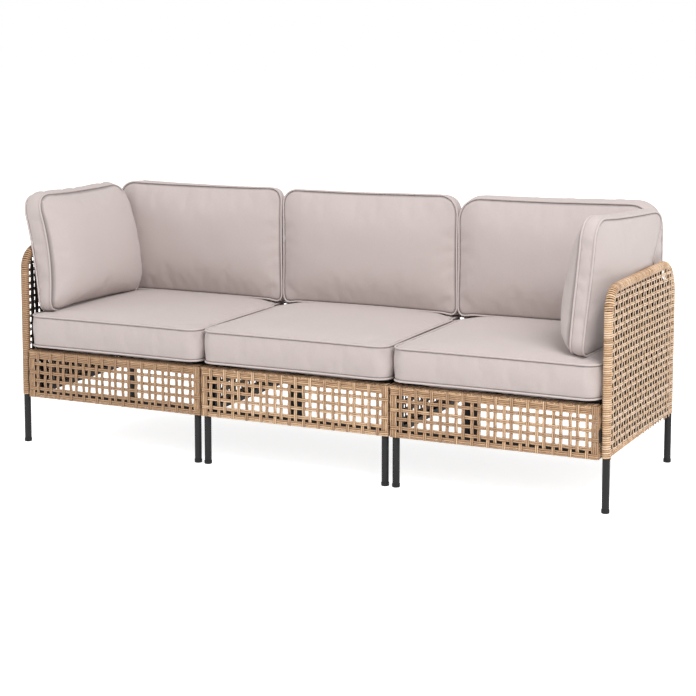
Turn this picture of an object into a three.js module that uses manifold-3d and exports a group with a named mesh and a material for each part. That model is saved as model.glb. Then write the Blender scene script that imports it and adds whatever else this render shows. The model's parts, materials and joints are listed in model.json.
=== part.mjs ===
// Three-module rattan garden sofa: left corner unit, middle unit and right corner unit.
// Millimetres. +X runs to the right in a front view, -Y is the front and +Z is up.
// The origin lies on the ground under the centre.
import * as THREE from "three";
import { mergeVertices } from "three/addons/utils/BufferGeometryUtils.js";
import Module from "manifold-3d";

const wasm = await Module();
wasm.setup();

// Plan of the modules
const modulePitch = 650;
const moduleGap = 6;
const cornerBoxWidth = 649;
const postSpan = 644;
const armGap = 5;
const backGap = 5;
const cornerPostGap = 2;
const backPostGap = 1;

// Heights above the ground, and the lips of the wicker past the seat box frame
const weaveBottom = 155;
const frameTop = 306;
const railTop = 656;
const apronLip = 4;
const skirtLip = 3;

// Steel tube, and the wicker wound round it
const tubeRadius = 11;
const wrapThickness = 3;
const bendRadius = 100;
const bendSteps = 5;
const tubeSides = 8;

// Seat box frame
const railSize = 20;
const barWidth = 10;
const barHeight = 18;
const uprightInset = 60;
const legGap = 0.5;
const legClearance = 0.6;

// Slatted seat deck
const slatCount = 5;
const slatWidth = 36;
const slatThickness = 5;
const slatEndGap = 54;
const spineWidth = 30;
const spineDepth = 6;

// Woven panels
const weaveThickness = 3.5;
const topBorder = 26;
const endBorder = 20;
const bottomBorder = 20;
const strandWidth = 22;
const apronColumns = 10;
const apronRows = 3;
const sideColumns = 4;
const sideRows = 1;
const panelColumns = 5;
const panelRows = 6;
const panelBorder = 12;

// Foot caps, tie bars and arm brackets
const footWall = 1.2;
const footHeight = 12;
const footRounding = 3;
const tieThickness = 5;
const tieWidth = 42;
const bracketHeight = 38;
const bracketWidth = 24;
const bracketLow = 204;

// Seat cushions
const seatSideGap = 2;
const cornerSeatGap = 1;
const seatOverhang = 10;
const seatBoxing = 98;
const seatCrown = 22;
const seatBelly = 22;
const seatCorner = 62;
const seatRearGap = 5;

// Back cushions
const backSideGap = 8;
const backHeight = 374;
const backBoxing = 100;
const backCrown = 30;
const backRearCrown = 8;
const backCorner = 58;
const backRest = 2;

// Side cushions
const sideRearGap = 2;
const sideHeight = 366;
const sideBoxing = 54;
const sideCrown = 34;
const sideOuterCrown = 28;
const sideCorner = 58;
const sideLean = THREE.MathUtils.degToRad(6);
const sideFrontSetback = 8;
const sideRest = 2;

// How stuffed cushions swell and draw in. A profile lists [share of the outline, share of the crown].
const boxingSwell = 4;
const drawIn = 6;
const crownProfile = [[0.94, 0.25], [0.8, 0.62], [0.45, 0.96]];
const restProfile = [[0.86, 1]];
const cushionArcPoints = 4;
const cushionSidePoints = 2;

// Clearances, how far a cut runs past what it cuts, and how near two points are one
const seatClearance = 0.3;
const touchClearance = 0.5;
const cutPast = 1;
const mergeReach = 1e-3;

// Finishes
const wickerFinish = { color: 0xc6a47c, roughness: 0.7, metalness: 0 };
const steelFinish = { color: 0x35363a, roughness: 0.5, metalness: 0.3 };
const footFinish = { color: 0x1d1d1f, roughness: 0.6, metalness: 0 };
const fabricFinish = { color: 0xcfc4bf, roughness: 0.9, metalness: 0 };

// Places worked out from the values above
const wrapRadius = tubeRadius + wrapThickness;
const footRadius = tubeRadius + footWall;
const legInset = weaveThickness + legGap + tubeRadius;
const middleHalf = (modulePitch - moduleGap) / 2;
const cornerInner = modulePitch - middleHalf;
const cornerOuter = cornerInner + cornerBoxWidth;
const armX = cornerOuter + armGap + wrapRadius;
const postFront = -postSpan / 2;
const postRear = postSpan / 2;
const boxFront = postFront - legInset;
const boxRear = postRear - wrapRadius - backGap;
const frameBottom = weaveBottom + skirtLip;
const apronTop = frameTop + apronLip;
const railCentre = railTop - wrapRadius;
const backInnerPost = cornerInner + legInset;
const backOuterPost = armX - 2 * wrapRadius - cornerPostGap;
const middlePost = middleHalf - legInset;
const middleBackPost = backInnerPost - 2 * wrapRadius - backPostGap;
const tubeBottom = footHeight + seatClearance;
const wrapBore = tubeRadius + seatClearance;

// Seat cushions fill their module and overhang the front apron. Back cushions stand against the hoops,
// and side cushions run from the front post to the face of the back cushion.
const cornerSpan = cornerBoxWidth - cornerSeatGap;
const seatSpan = { left: cornerSpan, middle: modulePitch - seatSideGap, right: cornerSpan };
const seatFront = boxFront - seatOverhang;
const seatRear = postRear - wrapRadius - seatRearGap;
const seatDepth = seatRear - seatFront - 2 * boxingSwell;
const seatCentreY = (seatFront + seatRear) / 2;
const seatBase = frameTop + seatClearance;
const cornerSeatX = cornerInner + cornerSpan / 2;
const seatX = { left: -cornerSeatX, middle: 0, right: cornerSeatX };
const backCentreY = postRear - wrapRadius - backRest - backRearCrown - backBoxing / 2;
const sideFront = postFront + sideFrontSetback;
const sideLength = backCentreY - backBoxing / 2 - backCrown - sideRearGap - sideFront;

const modules = {
  left: { low: -cornerOuter, high: -cornerInner, legs: [-backInnerPost] },
  middle: { low: -middleHalf, high: middleHalf, legs: [-middlePost, middlePost] },
  right: { low: cornerInner, high: cornerOuter, legs: [backInnerPost] },
};

// Geometry helpers
function toSolid(geometry) {
  const bare = geometry.clone();
  bare.deleteAttribute("normal");
  bare.deleteAttribute("uv");
  const merged = mergeVertices(bare, mergeReach);
  return new wasm.Manifold(new wasm.Mesh({
    numProp: 3,
    vertProperties: new Float32Array(merged.attributes.position.array),
    triVerts: new Uint32Array(merged.index.array),
  }));
}

function toGeometry(solid) {
  const mesh = solid.getMesh();
  const geometry = new THREE.BufferGeometry();
  geometry.setAttribute("position", new THREE.BufferAttribute(new Float32Array(mesh.vertProperties), 3));
  geometry.setIndex(new THREE.BufferAttribute(new Uint32Array(mesh.triVerts), 1));
  return geometry;
}

function block(low, high) {
  const size = new THREE.Vector3().subVectors(high, low);
  const geometry = new THREE.BoxGeometry(size.x, size.y, size.z);
  const centre = new THREE.Vector3().addVectors(low, high).multiplyScalar(0.5);
  return geometry.translate(centre.x, centre.y, centre.z);
}

function blockSolid(x0, x1, y0, y1, z0, z1) {
  return toSolid(block(new THREE.Vector3(x0, y0, z0), new THREE.Vector3(x1, y1, z1)));
}

// A path through given knots, so that a straight run takes one step and a bend takes a few.
class KnotPath extends THREE.Curve {
  constructor(knots) {
    super();
    this.knots = knots;
  }

  getPoint(t, target = new THREE.Vector3()) {
    const place = t * (this.knots.length - 1);
    const index = Math.min(Math.floor(place), this.knots.length - 2);
    return target.lerpVectors(this.knots[index], this.knots[index + 1], place - index);
  }

  getPointAt(u, target) {
    return this.getPoint(u, target);
  }

  getTangentAt(u, target = new THREE.Vector3()) {
    const last = this.knots.length - 1;
    const index = Math.round(u * last);
    const before = this.knots[Math.max(index - 1, 0)];
    const after = this.knots[Math.min(index + 1, last)];
    const here = this.knots[index];
    const arriving = new THREE.Vector3().subVectors(here, before).normalize();
    const leaving = new THREE.Vector3().subVectors(after, here).normalize();
    return target.addVectors(arriving, leaving).normalize();
  }
}

function tubeAlong(knots, radius) {
  const section = new THREE.Shape();
  for (let i = 0; i < tubeSides; i++) {
    const turn = (2 * Math.PI * (i + 0.5)) / tubeSides;
    const reach = radius / Math.cos(Math.PI / tubeSides);
    const point = [reach * Math.cos(turn), reach * Math.sin(turn)];
    if (i === 0) section.moveTo(...point);
    else section.lineTo(...point);
  }
  section.closePath();
  const path = new KnotPath(knots);
  return new THREE.ExtrudeGeometry(section, { steps: knots.length - 1, extrudePath: path });
}

// Inverted U in the plane of s and z: up the first post, round two bends, down the second post.
function hoopKnots(s0, s1, low0, low1, place) {
  const knots = [place(s0, low0)];
  const bendCentre = railCentre - bendRadius;
  for (let i = 0; i <= bendSteps; i++) {
    const turn = (Math.PI / 2) * (i / bendSteps);
    const s = s0 + bendRadius * (1 - Math.cos(turn));
    knots.push(place(s, bendCentre + bendRadius * Math.sin(turn)));
  }
  for (let i = 0; i <= bendSteps; i++) {
    const turn = (Math.PI / 2) * (1 - i / bendSteps);
    const s = s1 - bendRadius * (1 - Math.cos(turn));
    knots.push(place(s, bendCentre + bendRadius * Math.sin(turn)));
  }
  knots.push(place(s1, low1));
  return knots;
}

// Flat woven panel in the plane of s and z with a grid of square openings.
function wovenSheet({ width, foot, head, columns, rows, border, corner }) {
  const outline = new THREE.Shape();
  outline.moveTo(0, foot);
  outline.lineTo(width, foot);
  if (corner > 0) {
    outline.lineTo(width, head - corner);
    outline.absarc(width - corner, head - corner, corner, 0, Math.PI / 2, false);
    outline.lineTo(corner, head);
    outline.absarc(corner, head - corner, corner, Math.PI / 2, Math.PI, false);
  } else {
    outline.lineTo(width, head);
    outline.lineTo(0, head);
  }
  outline.closePath();
  const settings = { depth: weaveThickness, bevelEnabled: false, curveSegments: bendSteps };
  const slab = new THREE.ExtrudeGeometry(outline, settings).rotateX(Math.PI / 2);
  const openWidth = (width - 2 * border.ends - (columns - 1) * strandWidth) / columns;
  const openHeight = (head - foot - border.top - border.bottom - (rows - 1) * strandWidth) / rows;
  const openings = [];
  for (let i = 0; i < columns; i++) {
    for (let j = 0; j < rows; j++) {
      const s = border.ends + i * (openWidth + strandWidth);
      const z = foot + border.bottom + j * (openHeight + strandWidth);
      const fromEnd = Math.min(s, width - s - openWidth);
      const fromTop = head - z - openHeight;
      const inCorner = Math.hypot(Math.max(corner - fromEnd, 0), Math.max(corner - fromTop, 0));
      if (corner > 0 && inCorner > corner - border.top / 2) continue;
      const low = new THREE.Vector3(s, -weaveThickness - cutPast, z);
      const high = new THREE.Vector3(s + openWidth, cutPast, z + openHeight);
      openings.push(toSolid(block(low, high)));
    }
  }
  return toGeometry(toSolid(slab).subtract(wasm.Manifold.union(openings)));
}

// Round-cornered outline whose sides draw in between the corners.
function cushionOutline(halfWide, halfDeep, corner) {
  const points = [];
  const quarters = [[1, 1], [-1, 1], [-1, -1], [1, -1]];
  quarters.forEach(([signX, signY], quarter) => {
    for (let i = 0; i < cushionArcPoints; i++) {
      const turn = (Math.PI / 2) * (quarter + i / (cushionArcPoints - 1));
      const x = signX * (halfWide - corner) + corner * Math.cos(turn);
      const y = signY * (halfDeep - corner) + corner * Math.sin(turn);
      points.push(new THREE.Vector2(x, y));
    }
    const along = quarter % 2 === 0;
    for (let i = 1; i <= cushionSidePoints; i++) {
      const share = 1 - (2 * i) / (cushionSidePoints + 1);
      const x = along ? signX * share * (halfWide - corner) : signX * (halfWide - drawIn);
      const y = along ? signY * (halfDeep - drawIn) : signY * share * (halfDeep - corner);
      points.push(new THREE.Vector2(x, y));
    }
  });
  return points;
}

// Stuffed cushion lying flat: rings of the outline from the middle of the belly to that of the crown.
function cushionGeometry({ width, depth, boxing, corner, crown, belly, bellyProfile }) {
  const outline = cushionOutline(width / 2, depth / 2, corner);
  const half = boxing / 2;
  const rings = [];
  [...bellyProfile].reverse().forEach(([share, rise]) => rings.push([share, -half - belly * rise]));
  rings.push([1, -half]);
  rings.push([1 + (2 * boxingSwell) / width, 0]);
  rings.push([1, half]);
  crownProfile.forEach(([share, rise]) => rings.push([share, half + crown * rise]));
  const vertices = [];
  rings.forEach(([share, z]) => {
    outline.forEach((point) => vertices.push(point.x * share, point.y * share, z));
  });
  const count = outline.length;
  const lowest = vertices.length / 3;
  vertices.push(0, 0, -half - belly);
  vertices.push(0, 0, half + crown);
  const faces = [];
  for (let i = 0; i < count; i++) {
    const next = (i + 1) % count;
    faces.push(lowest, next, i);
    const top = (rings.length - 1) * count;
    faces.push(lowest + 1, top + i, top + next);
    for (let ring = 0; ring < rings.length - 1; ring++) {
      const low = ring * count;
      const high = low + count;
      faces.push(low + i, low + next, high + next);
      faces.push(low + i, high + next, high + i);
    }
  }
  const geometry = new THREE.BufferGeometry();
  geometry.setAttribute("position", new THREE.BufferAttribute(new Float32Array(vertices), 3));
  geometry.setIndex(faces);
  return geometry;
}

// Height of a module's seat cushion over a place measured from the cushion's centre.
function seatTopAt(name, x, y) {
  const halfWidth = seatSpan[name] / 2 - boxingSwell;
  const share = Math.max(Math.abs(x) / halfWidth, Math.abs(y) / (seatDepth / 2));
  const knots = [[1, 0], ...crownProfile, [0, 1]];
  const seamTop = seatBase + seatBelly + seatBoxing;
  for (let i = 1; i < knots.length; i++) {
    const [outer, outerRise] = knots[i - 1];
    const [inner, innerRise] = knots[i];
    if (share >= inner && share <= outer) {
      const along = (outer - share) / (outer - inner);
      return seamTop + seatCrown * THREE.MathUtils.lerp(outerRise, innerRise, along);
    }
  }
  return -Infinity;
}

const group = new THREE.Group();

function piece(name, geometry, finish, parent) {
  const mesh = new THREE.Mesh(geometry, new THREE.MeshStandardMaterial(finish));
  mesh.name = name;
  parent.add(mesh);
  return mesh;
}

// Seat box: tube ring on top, bar ring below that passes behind the front legs, and uprights between.
function seatFrame(name, box, parent) {
  const skin = weaveThickness + seatClearance;
  const x0 = box.low + skin;
  const x1 = box.high - skin;
  const y0 = boxFront + skin;
  const y1 = boxRear - skin;
  const barFront = postFront + tubeRadius + legClearance;
  const ring = (size, front, z0, z1) => blockSolid(x0, x1, front, y1, z0, z1).subtract(
    blockSolid(x0 + size, x1 - size, front + size, y1 - size, z0 - cutPast, z1 + cutPast));
  const upright = (x, y) => blockSolid(x, x + barWidth, y, y + barWidth,
    frameBottom + barHeight / 2, frameTop - railSize / 2);
  const parts = [ring(railSize, y0, frameTop - railSize, frameTop)];
  parts.push(ring(barWidth, barFront, frameBottom, frameBottom + barHeight));
  for (const x of [x0 + uprightInset, x1 - uprightInset - barWidth]) parts.push(upright(x, y1 - barWidth));
  for (const y of [y0 + uprightInset, y1 - uprightInset - barWidth]) {
    for (const x of [x0, x1 - barWidth]) parts.push(upright(x, y));
  }
  const frame = wasm.Manifold.union(parts);
  piece(`${name}_seat_frame`, toGeometry(frame), steelFinish, parent);
}

// Deck of cross slats on one spine, flush with the top of the frame.
function seatSlats(name, box, parent) {
  const inset = weaveThickness + railSize + 2 * seatClearance;
  const x0 = box.low + inset;
  const x1 = box.high - inset;
  const y0 = boxFront + inset;
  const y1 = boxRear - inset;
  const centreX = (x0 + x1) / 2;
  const centreY = (y0 + y1) / 2;
  const under = frameTop - slatThickness;
  const spineTop = frameTop - slatThickness / 2;
  const pitch = (y1 - y0 - 2 * slatEndGap - slatWidth) / (slatCount - 1);
  const spineX = centreX - spineWidth / 2;
  let deck = blockSolid(spineX, spineX + spineWidth, y0, y1, under - spineDepth, spineTop);
  for (let i = 0; i < slatCount; i++) {
    const y = centreY + (i - (slatCount - 1) / 2) * pitch;
    deck = deck.add(blockSolid(x0, x1, y - slatWidth / 2, y + slatWidth / 2, under, frameTop));
  }
  piece(`${name}_seat_slats`, toGeometry(deck), steelFinish, parent);
}

// Four woven aprons round the seat box. The side ones run between the front and back ones.
function aprons(name, box, parent) {
  const border = { top: topBorder, bottom: bottomBorder, ends: endBorder };
  const size = { foot: weaveBottom, head: apronTop, border, corner: 0 };
  const across = { ...size, width: box.high - box.low, columns: apronColumns, rows: apronRows };
  const behind = { ...size, width: box.high - box.low, columns: sideColumns, rows: sideRows };
  const tuck = weaveThickness + seatClearance;
  const along = { ...size, width: boxRear - boxFront - 2 * tuck, columns: sideColumns, rows: sideRows };
  const front = piece(`${name}_apron_front`, wovenSheet(across), wickerFinish, parent);
  front.position.set(box.low, boxFront + weaveThickness, 0);
  const back = piece(`${name}_apron_back`, wovenSheet(behind), wickerFinish, parent);
  back.position.set(box.low, boxRear, 0);
  const left = piece(`${name}_apron_left`, wovenSheet(along), wickerFinish, parent);
  left.rotation.z = Math.PI / 2;
  left.position.set(box.low, boxFront + tuck, 0);
  const right = piece(`${name}_apron_right`, wovenSheet(along), wickerFinish, parent);
  right.rotation.z = Math.PI / 2;
  right.position.set(box.high - weaveThickness, boxFront + tuck, 0);
}

function footCap(name, x, y, parent) {
  const profile = [
    new THREE.Vector2(0, 0),
    new THREE.Vector2(footRadius - footRounding, 0),
    new THREE.Vector2(footRadius, footRounding),
    new THREE.Vector2(footRadius, footHeight),
    new THREE.Vector2(0, footHeight),
  ];
  const cap = new THREE.LatheGeometry(profile, tubeSides).rotateX(Math.PI / 2);
  piece(name, cap, footFinish, parent).position.set(x, y, 0);
}

function frontLegs(name, box, parent) {
  box.legs.forEach((x) => {
    const side = x < (box.low + box.high) / 2 ? "left" : "right";
    const top = frameTop - railSize - seatClearance;
    const knots = [new THREE.Vector3(x, postFront, tubeBottom), new THREE.Vector3(x, postFront, top)];
    piece(`${name}_front_leg_${side}`, tubeAlong(knots, tubeRadius), steelFinish, parent);
    footCap(`${name}_foot_front_${side}`, x, postFront, parent);
  });
}

// Hoop of steel tube, and the wicker skin wound round it with its woven panel.
function wovenHoop(name, s0, s1, lows, place, turnSheet, parent) {
  const knots = hoopKnots(s0, s1, lows[0], lows[1], place);
  piece(`${name}_frame`, tubeAlong(knots, tubeRadius), steelFinish, parent);
  const skinKnots = hoopKnots(s0, s1, weaveBottom, weaveBottom, place);
  const boreKnots = hoopKnots(s0, s1, weaveBottom - cutPast, weaveBottom - cutPast, place);
  const skin = toSolid(tubeAlong(skinKnots, wrapRadius));
  const bore = toSolid(tubeAlong(boreKnots, wrapBore));
  const reach = (wrapRadius + wrapBore) / 2;
  const sheet = wovenSheet({
    width: s1 - s0 - 2 * reach,
    foot: weaveBottom,
    head: railCentre - reach,
    columns: panelColumns,
    rows: panelRows,
    border: { top: panelBorder, bottom: bottomBorder, ends: panelBorder },
    corner: bendRadius - reach,
  });
  const skinned = toSolid(turnSheet(sheet, s0 + reach)).add(skin).subtract(bore);
  piece(`${name}_weave`, toGeometry(skinned), wickerFinish, parent);
}

function armPanel(name, x, parent) {
  const place = (s, z) => new THREE.Vector3(x, s, z);
  const turnSheet = (sheet, s) => sheet.rotateZ(Math.PI / 2).translate(x - weaveThickness / 2, s, 0);
  wovenHoop(`${name}_arm`, postFront, postRear, [tubeBottom, tubeBottom], place, turnSheet, parent);
  footCap(`${name}_foot_front_outer`, x, postFront, parent);
  footCap(`${name}_foot_rear_outer`, x, postRear, parent);
}

function armBracket(name, side, parent) {
  const near = cornerOuter + seatClearance;
  const far = armX - wrapRadius - seatClearance;
  const plate = new THREE.BoxGeometry(far - near, bracketWidth, bracketHeight);
  const bracket = piece(`${name}_arm_bracket`, plate, steelFinish, parent);
  bracket.position.set(side * ((near + far) / 2), postFront, bracketLow + bracketHeight / 2);
}

function backPanel(name, s0, s1, lows, parent) {
  const place = (s, z) => new THREE.Vector3(s, postRear, z);
  const turnSheet = (sheet, s) => sheet.translate(s, postRear + weaveThickness / 2, 0);
  wovenHoop(`${name}_back`, s0, s1, lows, place, turnSheet, parent);
}

// Flat bar under the rear edge of a seat box, from leg to leg.
function rearTie(name, x0, x1, parent) {
  const room = tubeRadius + seatClearance;
  const top = weaveBottom - seatClearance;
  const bar = block(
    new THREE.Vector3(x0 + room, postRear + tubeRadius - tieWidth, top - tieThickness),
    new THREE.Vector3(x1 - room, postRear + tubeRadius, top));
  piece(`${name}_rear_tie`, bar, steelFinish, parent);
}

function seatCushion(name, parent) {
  const geometry = cushionGeometry({
    width: seatSpan[name] - 2 * boxingSwell,
    depth: seatDepth,
    boxing: seatBoxing,
    corner: seatCorner,
    crown: seatCrown,
    belly: seatBelly,
    bellyProfile: restProfile,
  });
  const cushion = piece(`${name}_seat_cushion`, geometry, fabricFinish, parent);
  cushion.position.set(seatX[name], seatCentreY, seatBase + seatBelly + seatBoxing / 2);
}

// Lowers a standing cushion on to the seat cushion under it, until the first corner all but touches.
function standOnSeat(cushion, name) {
  cushion.updateMatrixWorld(true);
  const positions = cushion.geometry.attributes.position;
  const point = new THREE.Vector3();
  let least = Infinity;
  for (let i = 0; i < positions.count; i++) {
    point.fromBufferAttribute(positions, i).applyMatrix4(cushion.matrix);
    const under = seatTopAt(name, point.x - seatX[name], point.y - seatCentreY);
    least = Math.min(least, point.z - under);
  }
  cushion.position.z -= least - touchClearance;
}

function backCushion(name, parent) {
  const geometry = cushionGeometry({
    width: seatSpan[name] - backSideGap - 2 * boxingSwell,
    depth: backHeight,
    boxing: backBoxing,
    corner: backCorner,
    crown: backCrown,
    belly: backRearCrown,
    bellyProfile: crownProfile,
  });
  const cushion = piece(`${name}_back_cushion`, geometry, fabricFinish, parent);
  cushion.rotation.x = Math.PI / 2;
  cushion.position.set(seatX[name], backCentreY, railTop);
  standOnSeat(cushion, name);
}

function sideCushion(name, side, parent) {
  const geometry = cushionGeometry({
    width: sideHeight,
    depth: sideLength,
    boxing: sideBoxing,
    corner: sideCorner,
    crown: sideOuterCrown,
    belly: sideCrown,
    bellyProfile: crownProfile,
  });
  const cushion = piece(`${name}_side_cushion`, geometry, fabricFinish, parent);
  cushion.rotation.y = side * (Math.PI / 2 + sideLean);
  cushion.position.set(side * armX, sideFront + sideLength / 2, railTop);
  standOnSeat(cushion, name);
  cushion.updateMatrix();
  const positions = geometry.attributes.position;
  const point = new THREE.Vector3();
  let reach = 0;
  for (let i = 0; i < positions.count; i++) {
    point.fromBufferAttribute(positions, i).applyMatrix4(cushion.matrix);
    if (point.z < railTop + sideOuterCrown) reach = Math.max(reach, side * point.x);
  }
  cushion.position.x -= side * (reach - (armX - wrapRadius - sideRest));
  standOnSeat(cushion, name);
}

for (const [name, box] of Object.entries(modules)) {
  const unit = new THREE.Group();
  group.add(unit);
  seatFrame(name, box, unit);
  seatSlats(name, box, unit);
  aprons(name, box, unit);
  frontLegs(name, box, unit);
  seatCushion(name, unit);
  backCushion(name, unit);
}

for (const [name, side] of [["left", -1], ["right", 1]]) {
  const unit = new THREE.Group();
  group.add(unit);
  armPanel(name, side * armX, unit);
  armBracket(name, side, unit);
  const posts = [[side * backInnerPost, tubeBottom], [side * backOuterPost, weaveBottom + seatClearance]];
  posts.sort((a, b) => a[0] - b[0]);
  backPanel(name, posts[0][0], posts[1][0], [posts[0][1], posts[1][1]], unit);
  footCap(`${name}_foot_rear_inner`, side * backInnerPost, postRear, unit);
  const ends = [side * backInnerPost, side * armX].sort((a, b) => a - b);
  rearTie(name, ends[0], ends[1], unit);
  sideCushion(name, side, unit);
}

const middleUnit = new THREE.Group();
group.add(middleUnit);
backPanel("middle", -middleBackPost, middleBackPost, [tubeBottom, tubeBottom], middleUnit);
footCap("middle_foot_rear_left", -middleBackPost, postRear, middleUnit);
footCap("middle_foot_rear_right", middleBackPost, postRear, middleUnit);
rearTie("middle", -middleBackPost, middleBackPost, middleUnit);

// The origin lies under the middle of the whole depth, cushions included.
group.position.y = -(seatFront + postRear + wrapRadius) / 2;
group.updateMatrixWorld(true);

export default group;
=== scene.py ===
import json
from math import atan2, copysign, cos, hypot, pi, radians, sin, sqrt

import bpy
import numpy as np
from mathutils import Matrix, Vector, noise

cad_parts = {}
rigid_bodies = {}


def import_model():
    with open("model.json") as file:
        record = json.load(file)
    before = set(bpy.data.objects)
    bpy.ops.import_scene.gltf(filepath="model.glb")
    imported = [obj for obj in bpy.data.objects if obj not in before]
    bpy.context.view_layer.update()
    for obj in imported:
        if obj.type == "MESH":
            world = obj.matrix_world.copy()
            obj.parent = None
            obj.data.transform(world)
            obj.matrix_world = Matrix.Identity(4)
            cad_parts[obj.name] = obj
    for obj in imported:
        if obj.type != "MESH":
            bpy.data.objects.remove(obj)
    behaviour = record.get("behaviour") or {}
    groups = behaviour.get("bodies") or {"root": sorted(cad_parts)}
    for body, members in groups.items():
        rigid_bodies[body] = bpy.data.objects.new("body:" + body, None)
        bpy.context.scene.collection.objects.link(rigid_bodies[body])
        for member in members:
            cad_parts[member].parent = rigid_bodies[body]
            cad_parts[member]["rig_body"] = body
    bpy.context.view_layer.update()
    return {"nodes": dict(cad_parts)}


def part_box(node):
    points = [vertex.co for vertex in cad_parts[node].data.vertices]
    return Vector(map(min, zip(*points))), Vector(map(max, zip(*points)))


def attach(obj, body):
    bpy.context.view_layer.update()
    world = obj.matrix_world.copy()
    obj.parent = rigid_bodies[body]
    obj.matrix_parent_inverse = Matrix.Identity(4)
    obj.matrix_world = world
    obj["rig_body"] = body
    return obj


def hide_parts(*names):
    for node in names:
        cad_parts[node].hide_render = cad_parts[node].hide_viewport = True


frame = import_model()
mm = 0.001
sides = {"left": -1, "right": 1}
modules = ("left", "middle", "right")


def clamp(value, low=0, high=1):
    return min(max(value, low), high)


def between(pair, share):
    return pair[0] + (pair[1] - pair[0]) * share


def addObject(name, data):
    made = bpy.data.objects.new(name, data)
    bpy.context.scene.collection.objects.link(made)
    return made


def newMesh(name, points, faces=(), edges=()):
    mesh = bpy.data.meshes.new(name)
    mesh.from_pydata([tuple(point) for point in points], edges, faces)
    return mesh


class Nodes:
    # what is put into an input is a plain value, a socket, or a node, which stands for its first output
    def __init__(self, tree):
        self.tree = tree

    def add(self, kind, inputs=None, **settings):
        node = self.tree.nodes.new(kind)
        for name, value in settings.items():
            setattr(node, name, value)
        for key, value in (inputs or {}).items():
            if isinstance(value, bpy.types.Node):
                value = value.outputs[0]
            if isinstance(value, bpy.types.NodeSocket):
                self.tree.links.new(value, node.inputs[key])
            else:
                node.inputs[key].default_value = value
        return node

    def calc(self, operation, *values, clamped=False):
        return self.add("ShaderNodeMath", dict(enumerate(values)), operation=operation, use_clamp=clamped)

    def vectorCalc(self, operation, *values):
        return self.add("ShaderNodeVectorMath", dict(enumerate(values)), operation=operation)

    def scaled(self, vector, factor):
        return self.add("ShaderNodeVectorMath", {0: vector, "Scale": factor}, operation="SCALE")

    def vector(self, x=0.0, y=0.0, z=0.0):
        return self.add("ShaderNodeCombineXYZ", {0: x, 1: y, 2: z})

    def parts(self, vector):
        return self.add("ShaderNodeSeparateXYZ", {0: vector}).outputs

    def noise(self, place, scale, detail=2, **more):
        return self.add("ShaderNodeTexNoise", {"Vector": place, "Scale": scale, "Detail": detail, **more})

    def ranged(self, value, low, high, first, last):
        return self.add("ShaderNodeMapRange", {0: value, 1: low, 2: high, 3: first, 4: last}, clamp=True)

    # for materials
    def attribute(self, name):
        return self.add("ShaderNodeAttribute", attribute_name=name).outputs["Fac"]

    def blend(self, factor, first, second):
        return self.add("ShaderNodeMix", {"Factor": factor, 6: first, 7: second}, data_type="RGBA").outputs[2]

    def bump(self, height, distance, strength, **more):
        return self.add("ShaderNodeBump", {"Height": height, "Distance": distance, "Strength": strength, **more})

    # for geometry
    def named(self, name, kind="FLOAT"):
        return self.add("GeometryNodeInputNamedAttribute", {"Name": name}, data_type=kind)

    def store(self, shape, name, value, kind="FLOAT", domain="POINT"):
        return self.add(
            "GeometryNodeStoreNamedAttribute", {0: shape, "Name": name, "Value": value}, data_type=kind, domain=domain)

    def moved(self, shape, offset):
        return self.add("GeometryNodeSetPosition", {0: shape, "Offset": offset})


def emptyNodes(owner):
    owner.use_nodes = True
    owner.node_tree.nodes.clear()
    return Nodes(owner.node_tree)


def newMaterial(name):
    material = bpy.data.materials.new(name)
    return material, emptyNodes(material)


# Camera, floor and light

cameraView = {
    "place": (2485.3, -5115.7, 1428.2),
    "pitch": 6.82,
    "yaw": 25.63,
    "lens": 92.68,
    "shiftY": -0.18,
}

studio = {   # metres and watts
    "floorSize": 60,
    "floorTint": (0.93, 0.93, 0.93, 1),
    "floorGlow": 0.8,
    "white": (1, 1, 1, 1),
    "skyStrength": 0.6,
    "skyTint": (1.0, 0.985, 0.97, 1),
    "aim": (0, 0, 0.4),
    "lamps": {
        "key": {"power": 330, "size": 3.2, "place": (3.6, -3.0, 5.4)},
        "fill": {"power": 40, "size": 2.5, "place": (-4.5, -2.5, 2.6)},
    },
}


def makeCamera():
    data = bpy.data.cameras.new("viewCamera")
    camera = addObject("viewCamera", data)
    camera.location = Vector(cameraView["place"]) * mm
    camera.rotation_euler = (radians(90 - cameraView["pitch"]), 0, radians(cameraView["yaw"]))
    data.sensor_width = 36
    data.lens = cameraView["lens"]
    data.shift_y = cameraView["shiftY"]
    data.clip_end = 100
    bpy.context.scene.camera = camera


def seenDirectly(nodes):
    path = nodes.add("ShaderNodeLightPath").outputs
    either = nodes.calc("MAXIMUM", path["Is Camera Ray"], path["Is Glossy Ray"])
    return nodes.calc("MAXIMUM", either, path["Is Transmission Ray"])


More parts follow.
